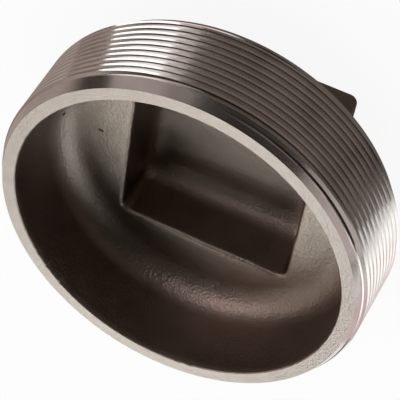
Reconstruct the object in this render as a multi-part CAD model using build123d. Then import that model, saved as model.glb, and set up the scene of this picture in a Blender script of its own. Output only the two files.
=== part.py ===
from build123d import *
import os
from math import atan, ceil, degrees, radians, sqrt, tan

# A cored square head pipe plug, cast in one piece, with a taper thread on its barrel.
# It stands on the end of its square head with the cup open upwards. Z is the thread's axis,
# Z = 0 is the flat end of the head, and the sides of the square lie along X and Y.

# Taper thread of the 4 inch size, 11 turns to the inch
thread_pitch = 25.4 / 11
thread_taper = 1 / 16
thread_gauge_diameter = 113.03
thread_gauge_length = 25.4
thread_depth = 1.479
thread_flank_angle = 27.5
thread_crest_flat = 0.85
thread_root_cut = 0.37
thread_start_angle = 178.5

# Barrel and its turned ends
barrel_length = 29.7
end_chamfer_angle = 30.0
end_chamfer_depth = 2.1

# Cast cup behind the open face, with the wall that its floor leaves above the shoulder
rim_width = 4.0
cup_floor_wall = 2.4
cup_wall_draft = 1.0
cup_floor_radius = 9.0
cup_mouth_break = 0.3

# Square pocket that cores the head out. Its corners stop short of the cup's floor radius.
pocket_end_wall = 4.0
pocket_draft = 1.5
pocket_corner_radius = 3.0
pocket_corner_setback = 3.1
pocket_floor_radius = 6.5
pocket_mouth_radius = 1.2

# Hollow square head, with its wall measured at the pocket's floor
head_height = 21.7
head_wall = 3.5
head_draft = 0.5
head_corner_radius = 2.5
head_end_radius = 1.2
head_root_radius = 2.0

# Thread form: its slopes, and the radii of the sharp form and of the crests at the open face
cone_slope = thread_taper / 2
flank_slope = tan(radians(thread_flank_angle))
chamfer_slope = tan(radians(end_chamfer_angle))
sharp_height = thread_pitch / (2 * flank_slope)
major_radius_at_open_face = (thread_gauge_diameter - thread_gauge_length * thread_taper) / 2
sharp_radius_at_open_face = major_radius_at_open_face + (sharp_height - thread_depth) / 2
crest_radius_at_open_face = sharp_radius_at_open_face - thread_crest_flat / (2 * flank_slope)
root_radius_at_open_face = sharp_radius_at_open_face - sharp_height + thread_root_cut
crest_radius_at_shoulder = crest_radius_at_open_face + barrel_length * cone_slope

# Levels above the head's end
shoulder_level = head_height
open_level = head_height + barrel_length
cup_floor_level = shoulder_level + cup_floor_wall
pocket_depth = cup_floor_level - pocket_end_wall

# Radii of the turned faces and of the cup
open_face_radius = crest_radius_at_open_face - end_chamfer_depth
shoulder_face_radius = crest_radius_at_shoulder - end_chamfer_depth
cup_mouth_radius = open_face_radius - rim_width
cup_wall_height = open_level - cup_floor_level - cup_mouth_break
cup_wall_foot_radius = cup_mouth_radius - cup_wall_height * tan(radians(cup_wall_draft))
cup_flat_radius = cup_wall_foot_radius - cup_floor_radius * tan(radians(90 - cup_wall_draft) / 2)

# Widths of the pocket at its mouth and of the head at its end
corner_rounding_gain = pocket_corner_radius * (sqrt(2) - 1)
pocket_width = sqrt(2) * (cup_flat_radius - pocket_corner_setback + corner_rounding_gain)
pocket_floor_width = pocket_width - 2 * pocket_depth * tan(radians(pocket_draft))
head_width = pocket_floor_width + 2 * head_wall

# The thread is cut in a longer cone, in runs of a few whole turns, and then trimmed to length
spare_turns = 3.2
turns_in_run = 5
cutter_overhang = 0.6
trim_reach = 12.0

# How the source finds edges to round: within this distance of a level, and by a share of a width
# that takes in every edge of a square opening or block but none of the round ones outside it
level_tolerance = 0.01
square_edge_reach = 0.6


def edges_at(shape, level, reach):
    """Edges of a shape that lie at one level and no further than reach from the axis in X and Y."""
    flat = shape.edges().filter_by_position(Axis.Z, level - level_tolerance, level + level_tolerance)
    return flat.filter_by(lambda edge: max(abs(edge.center().X), abs(edge.center().Y)) < reach)


def turned(*corners):
    """A solid of revolution about the thread's axis, from the corners of its half section."""
    return revolve(Plane.XZ * make_face(Polyline(*corners, close=True)), Axis.Z)


def crest_radius(level):
    """Radius of the thread's crests at a height above the head's end."""
    return crest_radius_at_open_face + (open_level - level) * cone_slope


def crest_cone():
    """The thread's crests as a plain cone, longer than the barrel at both ends."""
    low = shoulder_level - spare_turns * thread_pitch
    high = open_level + spare_turns * thread_pitch
    return turned((0, low), (crest_radius(low), low), (crest_radius(high), high), (0, high))


def groove_run(first_level):
    """Cutter for a few whole turns of the groove, with a flat root and straight flanks."""
    height = turns_in_run * thread_pitch
    cone_angle = -degrees(atan(cone_slope))
    path = Pos(0, 0, first_level) * Helix(thread_pitch, height, crest_radius(first_level), cone_angle=cone_angle)
    depth = crest_radius_at_open_face - root_radius_at_open_face
    half_root = thread_root_cut * flank_slope
    half_mouth = half_root + (depth + cutter_overhang) * flank_slope
    section = Polyline(
        (-depth, -half_root),
        (-depth, half_root),
        (cutter_overhang, half_mouth),
        (cutter_overhang, -half_mouth),
        close=True,
    )
    start = Plane(origin=path @ 0, x_dir=(1, 0, 0), z_dir=path % 0)
    return sweep(start * make_face(section), path, is_frenet=True)


def threaded_barrel():
    """Tapered barrel with its thread, trimmed to length with a long chamfer at each end."""
    barrel = crest_cone()
    last_groove_level = open_level - thread_pitch * thread_start_angle / 360
    turns_below = ceil(barrel_length / thread_pitch) + 1
    first_level = last_groove_level - turns_below * thread_pitch
    for run in range(ceil((turns_below + 1) / turns_in_run)):
        barrel = barrel - groove_run(first_level + run * turns_in_run * thread_pitch)
    trim_rise = trim_reach * chamfer_slope
    blank = turned(
        (0, shoulder_level),
        (shoulder_face_radius, shoulder_level),
        (shoulder_face_radius + trim_rise, shoulder_level + trim_reach),
        (open_face_radius + trim_rise, open_level - trim_reach),
        (open_face_radius, open_level),
        (0, open_level),
    )
    return barrel & blank


def square_head():
    """Drafted square block, widest at the shoulder, with its corners and end edge rounded."""
    section = RectangleRounded(head_width, head_width, head_corner_radius)
    block = extrude(section, amount=head_height, taper=-head_draft)
    return fillet(block.edges().group_by(Axis.Z)[0], head_end_radius)


def cup_core():
    """Round core of the cup: drafted wall, flat floor, a large radius between them, broken mouth."""
    wall_top = open_level - cup_mouth_break
    outline = Polyline(
        (0, cup_floor_level),
        (cup_wall_foot_radius, cup_floor_level),
        (cup_mouth_radius, wall_top),
        (cup_mouth_radius + cup_mouth_break, open_level),
        (0, open_level),
        close=True,
    )
    section = make_face(outline)
    floor_corner = section.vertices().group_by(Axis.Y)[0].sort_by(Axis.X)[-1]
    return revolve(Plane.XZ * fillet(floor_corner, cup_floor_radius), Axis.Z)


def pocket_core():
    """Square core of the head: drafted walls, a generous floor radius, then rounded corners."""
    mouth = Plane.XY.offset(cup_floor_level) * Rectangle(pocket_width, pocket_width)
    core = extrude(mouth, amount=-pocket_depth, taper=pocket_draft)
    core = fillet(core.edges().group_by(Axis.Z)[0], pocket_floor_radius)
    corner_reach = pocket_width / 2 - pocket_floor_radius
    corners = core.edges().filter_by(
        lambda edge: min(abs(edge.center().X), abs(edge.center().Y)) > corner_reach
    )
    return fillet(corners, pocket_corner_radius)


def plug_body():
    """The whole casting with its machined barrel."""
    body = threaded_barrel() + square_head()
    body = fillet(edges_at(body, shoulder_level, head_width * square_edge_reach), head_root_radius)
    body = body - cup_core() - pocket_core()
    return fillet(edges_at(body, cup_floor_level, pocket_width * square_edge_reach), pocket_mouth_radius)


os.makedirs("parts", exist_ok=True)
export_step(plug_body(), "parts/plug_body.step")
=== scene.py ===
from math import atan2, ceil, cos, pi, radians, sin, sqrt, tan

import bmesh
import bpy
from mathutils import Euler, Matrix, Vector, noise as drift


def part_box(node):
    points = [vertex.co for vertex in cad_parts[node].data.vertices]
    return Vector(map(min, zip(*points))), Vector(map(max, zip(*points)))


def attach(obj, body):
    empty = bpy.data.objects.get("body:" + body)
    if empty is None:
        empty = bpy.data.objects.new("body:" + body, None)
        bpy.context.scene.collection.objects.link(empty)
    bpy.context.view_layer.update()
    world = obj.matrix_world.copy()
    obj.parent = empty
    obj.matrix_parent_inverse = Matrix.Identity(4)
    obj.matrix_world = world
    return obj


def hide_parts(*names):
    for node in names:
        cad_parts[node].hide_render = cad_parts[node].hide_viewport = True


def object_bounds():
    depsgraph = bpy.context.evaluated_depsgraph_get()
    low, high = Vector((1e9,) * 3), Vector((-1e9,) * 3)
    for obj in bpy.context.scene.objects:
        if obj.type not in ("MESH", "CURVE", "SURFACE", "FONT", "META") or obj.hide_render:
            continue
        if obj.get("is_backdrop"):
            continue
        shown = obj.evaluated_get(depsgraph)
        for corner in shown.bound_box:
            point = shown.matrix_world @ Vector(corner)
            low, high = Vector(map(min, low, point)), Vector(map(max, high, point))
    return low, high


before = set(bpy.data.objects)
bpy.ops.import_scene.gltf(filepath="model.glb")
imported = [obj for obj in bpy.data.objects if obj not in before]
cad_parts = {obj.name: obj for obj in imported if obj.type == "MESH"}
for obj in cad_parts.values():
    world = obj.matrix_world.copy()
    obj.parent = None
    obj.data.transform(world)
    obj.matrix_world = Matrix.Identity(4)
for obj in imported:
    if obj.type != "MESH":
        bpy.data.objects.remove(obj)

# A cored square head pipe plug in cast stainless steel. It stands on its square head with the
# cup open upwards, and Z is the thread's axis. All sizes are in metres.
MM = 0.001
cad_low, cad_high = (Vector(corner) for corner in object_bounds())
body_high = Vector(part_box("plug_body")[1])

# Taper thread, 11 turns to the inch, right hand
thread_pitch = 25.4 / 11 * MM
thread_taper = 1 / 16
thread_flank_angle = radians(27.5)
thread_crest_flat = 0.85 * MM
thread_root_cut = 0.37 * MM
thread_start_angle = radians(178.5)
gauge_diameter = 113.03 * MM
gauge_length = 25.4 * MM
thread_depth = 1.479 * MM

# Turned ends of the barrel
barrel_length = 29.7 * MM
end_chamfer_slope = tan(radians(30))
end_chamfer_depth = 2.1 * MM

# Cast cup
rim_width = 4.0 * MM
cup_floor_wall = 2.4 * MM
cup_wall_draft = radians(1.0)
cup_floor_radius = 9.0 * MM
cup_mouth_break = 0.3 * MM

# Square pocket and hollow head
pocket_end_wall = 4.0 * MM
pocket_draft = radians(1.5)
pocket_corner_radius = 3.0 * MM
pocket_corner_setback = 3.1 * MM
pocket_floor_radius = 6.5 * MM
pocket_mouth_radius = 1.2 * MM
head_wall = 3.5 * MM
head_draft = radians(0.5)
head_corner_radius = 2.5 * MM
head_end_radius = 1.2 * MM
head_root_radius = 2.0 * MM

# Levels and radii that follow from the sizes above and from the model's box
open_level = body_high.z
shoulder_level = open_level - barrel_length
cone_slope = thread_taper / 2
flank_slope = tan(thread_flank_angle)
sharp_height = thread_pitch / (2 * flank_slope)
major_radius_at_open_face = (gauge_diameter - gauge_length * thread_taper) / 2
sharp_radius_at_open_face = major_radius_at_open_face + (sharp_height - thread_depth) / 2
crest_cut = thread_crest_flat / (2 * flank_slope)
open_face_radius = sharp_radius_at_open_face - crest_cut - end_chamfer_depth
shoulder_face_radius = open_face_radius + barrel_length * cone_slope
cup_floor_level = shoulder_level + cup_floor_wall
cup_mouth_radius = open_face_radius - rim_width
cup_wall_top = open_level - cup_mouth_break
cup_wall_foot_radius = cup_mouth_radius - (cup_wall_top - cup_floor_level) * tan(cup_wall_draft)
cup_flat_radius = cup_wall_foot_radius - cup_floor_radius * tan((pi / 2 - cup_wall_draft) / 2)
pocket_depth = cup_floor_level - pocket_end_wall
pocket_corner_reach = cup_flat_radius - pocket_corner_setback
pocket_half_width = (pocket_corner_reach + pocket_corner_radius * (sqrt(2) - 1)) / sqrt(2)
pocket_floor_half_width = pocket_half_width - pocket_depth * tan(pocket_draft)
head_half_width = pocket_floor_half_width + head_wall

# Fineness of the mesh. The columns round the axis stand closer together near the square's corners,
# and the rows across the thread's profile fall on the corners of its crest and root.
columns = 360
corner_crowding = 0.55
profile_rows = 9
crest_row = 3 / profile_rows
root_row = 7 / profile_rows
spare_turns = 3
middle_ring_radius = 2 * MM
thread_merge_distance = 0.004 * MM
piece_merge_distance = 0.006 * MM
shortest_edge = 0.001 * MM
smooth_angle = radians(22)

# Attributes of the mesh, from 0 to 1: how deep a point lies in the thread's groove, and how steep
# the cast surface is
groove_mark = "groove_depth"
steep_mark = "steepness"

# Marks of casting and handling
cast_wave_size = 6.0 * MM
cast_wave_height = 0.12 * MM
cast_wave_shifts = (Vector((0, 0, 0)), Vector((31, 17, 5)), Vector((7, 43, 29)))
edge_wear_depth = 0.14 * MM
edge_wear_size = 3 * MM
edge_nick_angles = tuple(radians(angle) for angle in (35.1, 41.2, 49.1, 99.3, 103.8))
edge_nick_depth = 0.4 * MM
edge_nick_reach = radians(0.8)
pit_places = (Vector((46.6, -5.0, 27.5)) * MM, Vector((36.5, -1.2, 24.1)) * MM)
pit_depth = 0.4 * MM
pit_slope_width = 0.12 * MM

# Camera, as it stood when the photograph was taken
camera_place = Vector((-87.69, -327.31, 318.47)) * MM
camera_turn = (radians(-43.319), radians(24.698), radians(-172.181))
sensor_width = 36.0
focal_length = 141.677
view_shift = (-0.00125, -0.09875)

# Studio. The floor and the cards on it lie just under the head's end, so that no faces coincide.
floor_level = -0.1 * MM
card_level = -0.05 * MM
floor_reach = 6.0
floor_white_share = 0.9
plain_light_strength = 0.85
card_step = 6
wall_distance = 2.0
dark_room = (0.012, 0.01, 0.009)


def column_angle(step):
    """Angle of a column of the mesh, from a count that runs evenly from 0 to the number of columns."""
    even = 2 * pi * step / columns
    return even + corner_crowding / 4 * sin(4 * even)


class Field:
    """A node socket that can be used in arithmetic."""

    def __init__(self, graph, socket):
        self.graph = graph
        self.socket = socket

    def __add__(self, other):
        return self.graph.math("ADD", self, other)

    def __radd__(self, other):
        return self.graph.math("ADD", other, self)

    def __sub__(self, other):
        return self.graph.math("SUBTRACT", self, other)

    def __rsub__(self, other):
        return self.graph.math("SUBTRACT", other, self)

    def __mul__(self, other):
        return self.graph.math("MULTIPLY", self, other)

    def __rmul__(self, other):
        return self.graph.math("MULTIPLY", other, self)

    def __truediv__(self, other):
        return self.graph.math("DIVIDE", self, other)

    def __rtruediv__(self, other):
        return self.graph.math("DIVIDE", other, self)


class Graph:
    """Makes the nodes of one tree from their type, their settings and the values of their sockets."""

    def __init__(self, tree):
        self.tree = tree
        tree.nodes.clear()

    def add(self, kind, settings=None, inputs=None, output=0):
        node = self.tree.nodes.new(kind)
        for name, value in (settings or {}).items():
            if name == "stops":
                self.set_stops(node.color_ramp, value)
            else:
                setattr(node, name, value)
        for name, value in (inputs or {}).items():
            if isinstance(value, Field):
                self.tree.links.new(value.socket, node.inputs[name])
            else:
                node.inputs[name].default_value = value
        return Field(self, node.outputs[output]) if len(node.outputs) else node

    def set_stops(self, ramp, stops):
        while len(ramp.elements) < len(stops):
            ramp.elements.new(0.5)
        for element, (place, colour) in zip(ramp.elements, stops):
            element.position = place
            element.color = colour

    def output(self, field, name):
        """Another output of the node that a field comes from."""
        return Field(self, field.socket.node.outputs[name])

    def math(self, operation, *terms, clamp=False):
        settings = {"operation": operation, "use_clamp": clamp}
        return self.add("ShaderNodeMath", settings, dict(enumerate(terms)))

    def least(self, first, second):
        return self.math("MINIMUM", first, second)

    def most(self, first, second):
        return self.math("MAXIMUM", first, second)


# Thread: a strip of one turn's profile that winds up the barrel and is cut off by its ends


def thread_tree():
    """Geometry nodes that wind the thread's profile round the tapered barrel and chamfer both ends."""
    tree = bpy.data.node_groups.new("taper_thread", "GeometryNodeTree")
    names = (
        "Pitch", "Start Angle", "Sharp Radius", "Cone Slope", "Flank Slope", "Crest Cut", "Root Radius Cut",
        "Chamfer Slope", "Open Face Radius", "Shoulder Face Radius", "Open Level", "Shoulder Level",
    )
    for name in names:
        tree.interface.new_socket(name, in_out="INPUT", socket_type="NodeSocketFloat")
    for name in ("Turns", "Columns", "Profile Rows"):
        tree.interface.new_socket(name, in_out="INPUT", socket_type="NodeSocketInt")
    tree.interface.new_socket("Finish", in_out="INPUT", socket_type="NodeSocketMaterial")
    tree.interface.new_socket("Geometry", in_out="OUTPUT", socket_type="NodeSocketGeometry")
    graph = Graph(tree)
    first = graph.add("NodeGroupInput")
    size = {socket.name: Field(graph, socket) for socket in first.socket.node.outputs if socket.name}

    strip_settings = {
        "Size X": 1.0,
        "Size Y": 1.0,
        "Vertices X": size["Turns"] * size["Columns"] + 1,
        "Vertices Y": size["Profile Rows"] + 1,
    }
    strip = graph.add("GeometryNodeMeshGrid", inputs=strip_settings)
    place = graph.add("ShaderNodeSeparateXYZ", inputs={"Vector": graph.add("GeometryNodeInputPosition")})
    turn = (place + 0.5) * size["Turns"]
    across = graph.output(place, "Y") + 0.5

    even_angle = graph.math("FRACT", turn) * (2 * pi)
    crowding = corner_crowding / 4 * graph.math("SINE", even_angle * 4)
    angle = even_angle + crowding
    winding = turn + crowding / (2 * pi)

    # Distance from the middle of the crest, as a share of half a pitch, with rows on the corners
    crest_share = 2 * size["Crest Cut"] * size["Flank Slope"] / size["Pitch"]
    root_share = 1 - 2 * size["Root Radius Cut"] * size["Flank Slope"] / size["Pitch"]
    even_share = graph.math("ABSOLUTE", across * 2 - 1)
    on_crest = even_share * crest_share / crest_row
    on_flank = crest_share + (even_share - crest_row) * (root_share - crest_share) / (root_row - crest_row)
    in_root = root_share + (even_share - root_row) * (1 - root_share) / (1 - root_row)
    share = graph.least(graph.least(on_crest, on_flank), 1.0)
    share = graph.most(share, graph.least(in_root, 1.0) * graph.math("GREATER_THAN", even_share, root_row))
    side = graph.math("SIGN", across * 2 - 1)
    phase = 0.5 + side * share / 2

    base_level = size["Open Level"] - size["Pitch"] * (size["Start Angle"] / (2 * pi) + size["Turns"] - 1)
    free_level = base_level + size["Pitch"] * (winding + phase)
    level = graph.least(graph.most(free_level, size["Shoulder Level"]), size["Open Level"])
    sharp = size["Sharp Radius"] + (size["Open Level"] - level) * size["Cone Slope"]
    flank = sharp - share * size["Pitch"] / 2 / size["Flank Slope"]
    root = sharp - size["Pitch"] / (2 * size["Flank Slope"]) + size["Root Radius Cut"]
    crest = sharp - size["Crest Cut"]
    cut = graph.least(crest, graph.most(flank, root))
    open_chamfer = size["Open Face Radius"] + (size["Open Level"] - level) * size["Chamfer Slope"]
    above_shoulder = level - size["Shoulder Level"]
    shoulder_chamfer = size["Shoulder Face Radius"] + above_shoulder * size["Chamfer Slope"]
    radius = graph.least(cut, graph.least(open_chamfer, shoulder_chamfer))
    depth = graph.math("DIVIDE", crest - cut, crest - root, clamp=True)

    along = radius * graph.math("COSINE", angle)
    beside = radius * graph.math("SINE", angle)
    spot = graph.add("ShaderNodeCombineXYZ", inputs={"X": along, "Y": beside, "Z": level})
    wound = graph.add("GeometryNodeSetPosition", inputs={"Geometry": strip, "Position": spot})
    marked = graph.add(
        "GeometryNodeStoreNamedAttribute",
        {"data_type": "FLOAT", "domain": "POINT"},
        {"Geometry": wound, "Name": groove_mark, "Value": depth},
    )
    merge = {"Geometry": marked, "Distance": thread_merge_distance}
    joined = graph.add("GeometryNodeMergeByDistance", inputs=merge)
    whole = graph.add("GeometryNodeRealizeInstances", inputs={"Geometry": joined})
    dressed = graph.add("GeometryNodeSetMaterial", inputs={"Geometry": whole, "Material": size["Finish"]})
    graph.add("NodeGroupOutput", inputs={"Geometry": dressed})
    return tree


def thread_mesh(finish):
    """The threaded barrel's outer surface, as a plain mesh."""
    holder = bpy.data.objects.new("thread_strip", bpy.data.meshes.new("thread_strip"))
    bpy.context.scene.collection.objects.link(holder)
    winding = holder.modifiers.new("taper_thread", "NODES")
    winding.node_group = thread_tree()
    values = {
        "Pitch": thread_pitch,
        "Start Angle": thread_start_angle,
        "Sharp Radius": sharp_radius_at_open_face,
        "Cone Slope": cone_slope,
        "Flank Slope": flank_slope,
        "Crest Cut": crest_cut,
        "Root Radius Cut": thread_root_cut,
        "Chamfer Slope": end_chamfer_slope,
        "Open Face Radius": open_face_radius,
        "Shoulder Face Radius": shoulder_face_radius,
        "Open Level": open_level,
        "Shoulder Level": shoulder_level,
        "Turns": ceil(barrel_length / thread_pitch) + spare_turns,
        "Columns": columns,
        "Profile Rows": profile_rows,
        "Finish": finish,
    }
    for item in winding.node_group.interface.items_tree:
        if item.in_out == "INPUT":
            winding[item.identifier] = values[item.name]
    graph = bpy.context.evaluated_depsgraph_get()
    mesh = bpy.data.meshes.new_from_object(holder.evaluated_get(graph))
    bpy.data.objects.remove(holder)
    return mesh


# The cast and faced surfaces: rings round the axis, from the middle of the head's end, over the
# shoulder, and from the open face down the cup and the pocket to the middle of its floor


def round_ring(radius, level):
    """Points of a circle, one for each column."""
    angles = [column_angle(step) for step in range(columns)]
    return [Vector((radius * cos(a), radius * sin(a), level)) for a in angles]


def square_reach(half_width, corner, angle):
    """Distance from the axis to a rounded square in one direction."""
    turned = (angle + pi / 4) % (pi / 2) - pi / 4
    across = half_width * tan(abs(turned))
    if across <= half_width - corner:
        return half_width / cos(turned)
    middle = half_width - corner
    along = middle * (cos(turned) + sin(abs(turned)))
    return along + sqrt(max(along * along - 2 * middle * middle + corner * corner, 0.0))


def square_ring(half_width, corner, level):
    """Points of a rounded square, one for each column."""
    angles = [column_angle(step) for step in range(columns)]
    reaches = [square_reach(half_width, corner, a) for a in angles]
    return [Vector((r * cos(a), r * sin(a), level)) for a, r in zip(angles, reaches)]


def blend_rings(inner, outer, share):
    """A ring between two others that lie at one level."""
    return [a.lerp(b, share) for a, b in zip(inner, outer)]


def shares(count):
    """Evenly spaced shares between 0 and 1, without either end."""
    return [step / count for step in range(1, count)]


def head_rings():
    """Rings of the head and the shoulder, from the head's end outwards."""
    end_half = head_half_width - head_end_radius
    rings = [square_ring(end_half, head_corner_radius - head_end_radius, 0.0)]
    middle = round_ring(middle_ring_radius, 0.0)
    rings = [blend_rings(middle, rings[0], s) for s in (0, 0.3, 0.6, 0.85)] + rings
    steps = 6
    for step in range(1, steps + 1):
        turn = pi / 2 * step / steps
        reach = head_end_radius * sin(turn)
        level = head_end_radius * (1 - cos(turn))
        corner = head_corner_radius - head_end_radius + reach
        rings.append(square_ring(end_half + reach, corner, level))
    root_start = shoulder_level - head_root_radius
    for share in shares(5) + [1.0]:
        level = head_end_radius + (root_start - head_end_radius) * share
        half = head_half_width + level * tan(head_draft)
        rings.append(square_ring(half, head_corner_radius, level))
    root_half = head_half_width + root_start * tan(head_draft)
    for step in range(1, steps + 1):
        turn = pi / 2 * step / steps
        reach = head_root_radius * (1 - cos(turn))
        level = root_start + head_root_radius * sin(turn)
        rings.append(square_ring(root_half + reach, head_corner_radius + reach, level))
    rim = round_ring(shoulder_face_radius, shoulder_level)
    rings += [blend_rings(rings[-1], rim, s) for s in shares(5)]
    return rings + [rim]


def cup_rings():
    """Rings of the cup's wall and floor, from the foot of its broken mouth to the pocket's mouth."""
    rings = []
    floor_turn = pi / 2 - cup_wall_draft
    wall_foot = cup_floor_level + cup_floor_radius * (1 - sin(cup_wall_draft))
    for share in [0.0] + shares(10) + [1.0]:
        level = cup_wall_top + (wall_foot - cup_wall_top) * share
        rings.append(round_ring(cup_mouth_radius - (cup_wall_top - level) * tan(cup_wall_draft), level))
    steps = 16
    for step in range(1, steps + 1):
        turn = floor_turn * (1 - step / steps)
        radius = cup_flat_radius + cup_floor_radius * sin(turn)
        rings.append(round_ring(radius, cup_floor_level + cup_floor_radius * (1 - cos(turn))))
    half = pocket_half_width + pocket_mouth_radius
    mouth = square_ring(half, pocket_corner_radius + pocket_mouth_radius, cup_floor_level)
    rings += [blend_rings(rings[-1], mouth, s) for s in shares(8)]
    return rings + [mouth]


def pocket_rings():
    """Rings of the pocket, from just inside its rounded mouth to the middle of its floor."""
    rings = []
    steps = 6
    for step in range(1, steps + 1):
        turn = pi / 2 * step / steps
        reach = pocket_mouth_radius * (1 - sin(turn))
        level = cup_floor_level - pocket_mouth_radius * (1 - cos(turn))
        rings.append(square_ring(pocket_half_width + reach, pocket_corner_radius + reach, level))
    start = cup_floor_level - pocket_mouth_radius
    foot = pocket_end_wall + pocket_floor_radius
    for share in shares(7) + [1.0]:
        level = start + (foot - start) * share
        half = pocket_half_width - (cup_floor_level - level) * tan(pocket_draft)
        rings.append(square_ring(half, pocket_corner_radius, level))
    foot_half = pocket_half_width - (cup_floor_level - foot) * tan(pocket_draft)
    steps = 12
    for step in range(1, steps + 1):
        turn = pi / 2 * step / steps
        half = foot_half - pocket_floor_radius * (1 - cos(turn))
        rings.append(square_ring(half, pocket_corner_radius, foot - pocket_floor_radius * sin(turn)))
    middle = round_ring(middle_ring_radius, pocket_end_wall)
    rings += [blend_rings(rings[-1], middle, s) for s in shares(7)]
    return rings + [middle]


def uneven(ring):
    """A ring of the casting, with the slight waves that a cast wall has, the same in each run."""
    points = []
    for point in ring:
        place = point / cast_wave_size
        wave = Vector([drift.noise(place + shift) for shift in cast_wave_shifts])
        points.append(point + wave * cast_wave_height)
    return points


def worn(ring):
    """A ring of the cup's mouth, worn back a little all round and nicked in a few places."""
    points = []
    for point in ring:
        angle = atan2(point.y, point.x) % (2 * pi)
        wear = edge_wear_depth * abs(drift.noise(point / edge_wear_size))
        for nick in edge_nick_angles:
            wear += edge_nick_depth * max(0.0, 1 - abs(angle - nick) / edge_nick_reach)
        points.append(point + Vector((cos(angle), sin(angle), 0)) * wear)
    return points


def pit(mesh, place):
    """Sinks a small casting pit into the face nearest to a place."""
    face = min(mesh.faces, key=lambda face: (face.calc_center_median() - place).length)
    bmesh.ops.inset_individual(mesh, faces=[face], thickness=pit_slope_width, depth=-pit_depth)


def add_rings(mesh, rings, slot, close_first=False, close_last=False):
    """Adds a band of faces between each ring and the next, and a fan over an end that is closed."""
    rows = [[mesh.verts.new(point) for point in ring] for ring in rings]
    for row, following in zip(rows, rows[1:]):
        for step in range(columns):
            beside = (step + 1) % columns
            face = mesh.faces.new((row[step], row[beside], following[beside], following[step]))
            face.material_index = slot
    closed = ([rows[0]] if close_first else []) + ([rows[-1]] if close_last else [])
    for row in closed:
        middle = mesh.verts.new(sum((vert.co for vert in row), Vector()) / columns)
        for step in range(columns):
            face = mesh.faces.new((row[step], row[(step + 1) % columns], middle))
            face.material_index = slot


def plug_piece(finishes):
    """The whole plug as one closed mesh, in place of the plain solid."""
    mesh = bpy.data.meshes.new("threaded_plug")
    build = bmesh.new()
    build.from_mesh(thread_mesh(finishes[0]))
    for face in build.faces:
        face.material_index = 0
    open_edge = round_ring(open_face_radius, open_level)
    mouth_edge = worn(round_ring(cup_mouth_radius + cup_mouth_break, open_level))
    face_rings = [blend_rings(open_edge, mouth_edge, s) for s in [0.0] + shares(5) + [1.0]]
    add_rings(build, face_rings, 1)
    inside = cup_rings() + pocket_rings()
    inside = [mouth_edge, worn(inside[0])] + [uneven(ring) for ring in inside[1:]]
    add_rings(build, inside, 2, close_last=True)
    add_rings(build, head_rings(), 2, close_first=True)
    bmesh.ops.remove_doubles(build, verts=build.verts, dist=piece_merge_distance)
    bmesh.ops.dissolve_degenerate(build, edges=build.edges, dist=shortest_edge)
    bmesh.ops.recalc_face_normals(build, faces=build.faces)
    build.normal_update()
    steepness = build.verts.layers.float.new(steep_mark)
    for vert in build.verts:
        vert[steepness] = 1 - abs(vert.normal.z)
    for place in pit_places:
        pit(build, place)
    for face in build.faces:
        face.smooth = True
    open_edges = sum(1 for edge in build.edges if not edge.is_manifold)
    print("plug mesh:", len(build.faces), "faces, open edges:", open_edges)
    build.to_mesh(mesh)
    build.free()
    for finish in finishes:
        mesh.materials.append(finish)
    piece = bpy.data.objects.new("threaded_plug", mesh)
    bpy.context.scene.collection.objects.link(piece)
    mesh.set_sharp_from_angle(angle=smooth_angle)
    return piece


# Finishes


def new_finish(name):
    """An empty material and the graph that fills it."""
    finish = bpy.data.materials.new(name)
    finish.use_nodes = True
    return finish, Graph(finish.node_tree)


def metal(graph, colour, roughness, normal):
    """Bare steel from its colour, roughness and surface relief."""
    inputs = {"Base Color": colour, "Metallic": 1.0, "Roughness": roughness}
    if normal is not None:
        inputs["Normal"] = normal
    shader = graph.add("ShaderNodeBsdfPrincipled", inputs=inputs)
    graph.add("ShaderNodeOutputMaterial", inputs={"Surface": shader})


def object_point(graph):
    """The place on the object, in metres."""
    return graph.output(graph.add("ShaderNodeTexCoord"), "Object")


def stretched(graph, point, scale):
    """A place scaled by its own amount along each axis."""
    return graph.add("ShaderNodeMapping", inputs={"Vector": point, "Scale": scale})


def noise(graph, point, scale, detail=2.0, rough=0.5):
    """Cloudy noise around 0.5."""
    return graph.add(
        "ShaderNodeTexNoise",
        inputs={"Vector": point, "Scale": scale, "Detail": detail, "Roughness": rough},
    )


def colours(graph, factor, stops):
    """A colour ramp."""
    return graph.add("ShaderNodeValToRGB", {"stops": stops}, {"Fac": factor})


def relief(graph, height, strength, depth):
    """A normal that is tilted by a height over the surface."""
    return graph.add(
        "ShaderNodeBump", inputs={"Height": height, "Strength": strength, "Distance": depth}
    )


def turned_thread_steel():
    """Thread cut on a lathe: bright steel with fine lines along the cut, and painted shade that darkens the
    groove towards its root.
    """
    finish, graph = new_finish("turned_thread_steel")
    point = object_point(graph)
    lines = noise(graph, stretched(graph, point, (40, 40, 7000)), 1.0, 3.0, 0.6)
    cloud = noise(graph, point, 90.0, 3.0, 0.55)
    clean = colours(graph, cloud, [(0.3, (0.6, 0.565, 0.545, 1)), (0.7, (0.74, 0.705, 0.685, 1))])
    groove = graph.add("ShaderNodeAttribute", {"attribute_name": groove_mark}, output="Fac")
    # Painted shade: the colour darkens to near black deeper in the thread's groove.
    groove_shade = graph.math("POWER", groove, 0.6, clamp=True)
    colour = graph.add(
        "ShaderNodeMix",
        {"data_type": "RGBA"},
        {"Factor": groove_shade, "A": clean, "B": (0.035, 0.028, 0.025, 1)},
        "Result",
    )
    roughness = 0.1 + 0.1 * lines + 0.06 * cloud + 0.25 * groove
    metal(graph, colour, roughness, relief(graph, lines, 0.2, 0.02 * MM))
    return finish


def faced_rim_steel():
    """Open face turned flat: satin steel with a fine grain."""
    finish, graph = new_finish("faced_rim_steel")
    point = object_point(graph)
    cloud = noise(graph, point, 160.0, 4.0, 0.6)
    grain = noise(graph, point, 1300.0, 3.0, 0.6)
    colour = colours(graph, cloud, [(0.3, (0.57, 0.52, 0.475, 1)), (0.7, (0.7, 0.65, 0.6, 1))])
    metal(graph, colour, 0.34 + 0.12 * cloud, relief(graph, grain, 0.8, 0.14 * MM))
    return finish


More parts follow.
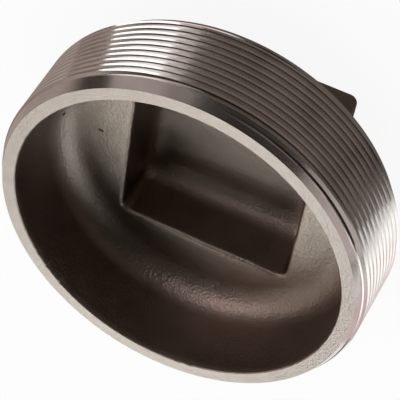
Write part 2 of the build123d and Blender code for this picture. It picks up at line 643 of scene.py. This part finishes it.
def blasted_cast_steel():
    """Cast steel, shot blasted: satin and grainy, with painted shade that darkens the steep walls."""
    finish, graph = new_finish("blasted_cast_steel")
    point = object_point(graph)
    cloud = noise(graph, point, 60.0, 5.0, 0.6)
    grain = noise(graph, point, 1300.0, 4.0, 0.6)
    blasted = colours(graph, cloud, [(0.3, (0.55, 0.485, 0.42, 1)), (0.7, (0.69, 0.62, 0.545, 1))])
    # Painted shade: the steeper the wall, the more the colour darkens towards dark brown.
    steep = graph.add("ShaderNodeAttribute", {"attribute_name": steep_mark}, output="Fac")
    steep_wall_shade = graph.math("MULTIPLY", graph.math("POWER", steep, 2.5), 1.15 - 0.3 * cloud, clamp=True)
    colour = graph.add(
        "ShaderNodeMix",
        {"data_type": "RGBA"},
        {"Factor": steep_wall_shade, "A": blasted, "B": (0.27, 0.22, 0.19, 1)},
        "Result",
    )
    height = grain + 0.5 * noise(graph, point, 420.0, 3.0, 0.5)
    metal(graph, colour, 0.31 + 0.12 * cloud, relief(graph, height, 1.0, 0.24 * MM))
    return finish


# Stage, lights and camera


def seen_or_mirrored(graph):
    """1 for the camera and for what metal and glass show, 0 for plain light."""
    path = graph.add("ShaderNodeLightPath")
    glossy = graph.output(path, "Is Glossy Ray")
    transmitted = graph.output(path, "Is Transmission Ray")
    return graph.most(path, graph.most(glossy, transmitted))


def white_surround():
    """A world that is white where it is seen or mirrored, and gives soft plain light."""
    world = bpy.data.worlds.new("white_surround")
    bpy.context.scene.world = world
    world.use_nodes = True
    graph = Graph(world.node_tree)
    dim = graph.add("ShaderNodeBackground", inputs={"Color": (1, 1, 1, 1), "Strength": plain_light_strength})
    white = graph.add("ShaderNodeBackground", inputs={"Color": (1, 1, 1, 1), "Strength": 1.0})
    mixed = graph.add("ShaderNodeMixShader", inputs={0: seen_or_mirrored(graph), 1: dim, 2: white})
    graph.add("ShaderNodeOutputWorld", inputs={"Surface": mixed})


def pale_floor():
    """A plain white floor that keeps a faint shadow of the plug."""
    finish, graph = new_finish("pale_floor")
    white = graph.add("ShaderNodeEmission", inputs={"Color": (1, 1, 1, 1), "Strength": 1.0})
    matt = graph.add("ShaderNodeBsdfDiffuse", inputs={"Color": (0.9, 0.9, 0.9, 1)})
    share = seen_or_mirrored(graph) * floor_white_share
    mixed = graph.add("ShaderNodeMixShader", inputs={0: share, 1: matt, 2: white})
    graph.add("ShaderNodeOutputMaterial", inputs={"Surface": mixed})
    signs = ((-1, -1), (1, -1), (1, 1), (-1, 1))
    corners = [(x * floor_reach, y * floor_reach, floor_level) for x, y in signs]
    stage_sheet("floor", corners, [(0, 1, 2, 3)], finish)


def stage_sheet(name, points, faces, finish):
    """A sheet of the stage, which isn't part of the object."""
    mesh = bpy.data.meshes.new(name)
    mesh.from_pydata(points, [], faces)
    mesh.materials.append(finish)
    sheet = bpy.data.objects.new(name, mesh)
    bpy.context.scene.collection.objects.link(sheet)
    sheet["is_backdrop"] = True
    return sheet


def card(name, points, faces, tone):
    """A card of the studio that only shows in the metal. It casts no shadow and hides no floor."""
    finish, graph = new_finish(name)
    shine = graph.add("ShaderNodeEmission", inputs={"Color": (*tone, 1), "Strength": 1.0})
    graph.add("ShaderNodeOutputMaterial", inputs={"Surface": shine})
    sheet = stage_sheet(name, points, faces, finish)
    sheet.visible_camera = False
    sheet.visible_diffuse = False
    sheet.visible_shadow = False
    sheet.visible_transmission = False


def floor_card(name, start, end, near, far, tone):
    """A card on the floor: a part of a ring round the plug, between two angles in degrees."""
    steps = max(2, ceil((end - start) / card_step))
    points = []
    for step in range(steps + 1):
        angle = radians(start + (end - start) * step / steps)
        points += [(reach * cos(angle), reach * sin(angle), card_level) for reach in (near, far)]
    faces = [(2 * k, 2 * k + 1, 2 * k + 3, 2 * k + 2) for k in range(steps)]
    card(name, points, faces, tone)


def wall_card(name, start, end, low, high, tone):
    """A card that stands round the plug, between two angles and two heights in degrees."""
    across = max(2, ceil((end - start) / card_step))
    up = max(1, ceil((high - low) / card_step))
    points = []
    for row in range(up + 1):
        climb = radians(low + (high - low) * row / up)
        for step in range(across + 1):
            angle = radians(start + (end - start) * step / across)
            reach = wall_distance * cos(climb)
            points.append((reach * cos(angle), reach * sin(angle), wall_distance * sin(climb)))
    width = across + 1
    faces = [
        (row * width + k, row * width + k + 1, (row + 1) * width + k + 1, (row + 1) * width + k)
        for row in range(up)
        for k in range(across)
    ]
    card(name, points, faces, tone)


def softbox(name, azimuth, elevation, distance, width, height, power, colour=(1, 1, 1)):
    """A rectangular lamp that faces the plug from one direction, given in degrees. The camera misses it."""
    light = bpy.data.lights.new(name, "AREA")
    light.shape = "RECTANGLE"
    light.size = width
    light.size_y = height
    light.energy = power
    light.color = colour
    lamp = bpy.data.objects.new(name, light)
    turn, climb = radians(azimuth), radians(elevation)
    direction = Vector((cos(turn) * cos(climb), sin(turn) * cos(climb), sin(climb)))
    lamp.location = (cad_low + cad_high) / 2 + direction * distance
    lamp.rotation_euler = direction.to_track_quat("Z", "Y").to_euler()
    lamp.visible_camera = False
    bpy.context.scene.collection.objects.link(lamp)


def studio():
    """Floor, lamps and the dark and light cards that the steel mirrors."""
    pale_floor()
    # Floor on the camera's side, with a bright gap that lights the crests
    floor_card("floor_card_under_head", 187, 350, 0.03, 0.062, (0.12, 0.1, 0.09))
    floor_card("floor_card_dark_front", 187, 290, 0.062, 4.0, (0.17, 0.14, 0.125))
    floor_card("floor_strip_soft", 290, 299, 0.062, 0.5, (0.6, 0.54, 0.54))
    floor_card("floor_strip_bright", 299, 327, 0.062, 0.5, (1.9, 1.85, 1.85))
    floor_card("floor_card_dark_side", 327, 346, 0.062, 4.0, (0.22, 0.15, 0.14))
    floor_card("floor_card_brown_side", 346, 400, 0.03, 4.0, (0.44, 0.37, 0.33))
    floor_card("floor_card_back_right", 128, 168, 0.03, 0.5, (0.75, 0.6, 0.6))
    # Dark room behind and above the camera, open to the white surround in two windows at the back
    wall_card("room_front_low_right", 165, 220, 0, 15, (0.6, 0.52, 0.49))
    wall_card("room_front_low", 220, 300, 0, 15, (0.15, 0.13, 0.12))
    wall_card("room_front_low_left", 300, 330, 0, 15, (0.42, 0.36, 0.34))
    wall_card("room_front", 157, 285, 15, 62, dark_room)
    wall_card("rosy_card", 292, 335, 20, 42, (1.25, 0.98, 0.98))
    wall_card("room_left_high", 285, 360, 42, 62, (0.05, 0.04, 0.035))
    wall_card("room_left_below", 285, 340, 15, 20, (0.2, 0.17, 0.16))
    wall_card("room_left", 340, 420, 15, 45, (0.35, 0.29, 0.26))
    wall_card("room_left_low", 330, 430, 0, 15, (0.03, 0.025, 0.022))
    wall_card("warm_card_high", 0, 30, 45, 72, (0.55, 0.48, 0.43))
    wall_card("warm_card", 30, 62, 45, 62, (0.55, 0.5, 0.46))
    wall_card("room_back_low", 62, 165, 0, 16, (0.12, 0.11, 0.1))
    wall_card("room_back_lower", 62, 92, 16, 28, dark_room)
    wall_card("room_back_middle", 92, 116, 16, 62, dark_room)
    wall_card("room_back_upper", 116, 157, 45, 62, (0.12, 0.11, 0.1))
    wall_card("room_top_left", 30, 92, 62, 72, dark_room)
    wall_card("room_top_right", 92, 360, 62, 72, (0.04, 0.035, 0.03))
    wall_card("room_top", 0, 360, 72, 90, dark_room)
    # Lamps in the two windows
    softbox("window_softbox_left", 77, 42, 1.0, 0.3, 0.48, 0.55, (1.0, 0.97, 0.92))
    softbox("window_softbox_right", 141, 30, 1.0, 0.45, 0.45, 0.4, (1.0, 0.98, 0.94))


def photo_camera():
    """The camera of the photograph. It is rolled over, because the photograph shows the cup facing down."""
    data = bpy.data.cameras.new("photo_camera")
    data.sensor_width = sensor_width
    data.lens = focal_length
    data.shift_x, data.shift_y = view_shift
    data.clip_start = 0.01
    data.clip_end = 20.0
    camera = bpy.data.objects.new("photo_camera", data)
    camera.location = camera_place
    camera.rotation_euler = Euler(camera_turn, "XYZ")
    bpy.context.scene.collection.objects.link(camera)
    bpy.context.scene.camera = camera


finishes = [turned_thread_steel(), faced_rim_steel(), blasted_cast_steel()]
plug = plug_piece(finishes)
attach(plug, "root")
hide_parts("plug_body")

white_surround()
studio()
photo_camera()

bpy.context.scene.view_settings.view_transform = "Standard"
